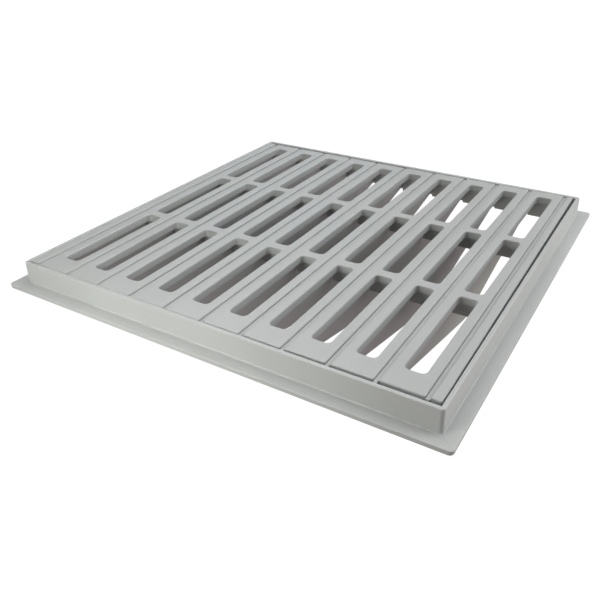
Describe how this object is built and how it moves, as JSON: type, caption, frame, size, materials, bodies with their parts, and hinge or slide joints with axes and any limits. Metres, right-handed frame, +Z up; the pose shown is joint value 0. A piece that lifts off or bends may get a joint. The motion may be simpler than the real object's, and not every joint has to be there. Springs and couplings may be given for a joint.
{
  "type": "drain grating with frame",
  "caption": "Square grey plastic drain grating of slotted slats on deep bearing bars, lying loose in a flanged frame that is set over a pit.",
  "frame": {"origin": "middle of the frame, level with the underside of its flange, which lies on the rim of the pit", "axes": "+X to the right along the front side of the frame, +Y to the back along the slats, +Z up"},
  "size_m": [0.529, 0.529, 0.0695],
  "materials": {
    "frame_pvc": "satin light grey rigid PVC, extruded",
    "slat_pvc": "satin light grey rigid PVC, moulded",
    "bar_pvc": "satin light grey rigid PVC, moulded"
  },
  "bodies": {
    "frame": {"frame_front": "frame_pvc", "frame_right": "frame_pvc", "frame_back": "frame_pvc", "frame_left": "frame_pvc"},
    "grating": {"slat_01": "slat_pvc", "slat_02": "slat_pvc", "slat_03": "slat_pvc", "slat_04": "slat_pvc", "slat_05": "slat_pvc", "slat_06": "slat_pvc", "slat_07": "slat_pvc", "slat_08": "slat_pvc", "slat_09": "slat_pvc", "slat_10": "slat_pvc", "bearing_bar_01": "bar_pvc", "bearing_bar_02": "bar_pvc", "bearing_bar_03": "bar_pvc", "bearing_bar_04": "bar_pvc", "bearing_bar_05": "bar_pvc", "bearing_bar_06": "bar_pvc", "bearing_bar_07": "bar_pvc", "bearing_bar_08": "bar_pvc", "bearing_bar_09": "bar_pvc", "side_bar_left": "bar_pvc", "side_bar_right": "bar_pvc", "edge_strip_left": "slat_pvc", "edge_strip_right": "slat_pvc"}
  },
  "joints": [
    {"name": "grating_lift", "type": "slide", "parent": "frame", "child": "grating", "axis": [0, 0, 1], "range_m": [0, 0.09]}
  ]
}
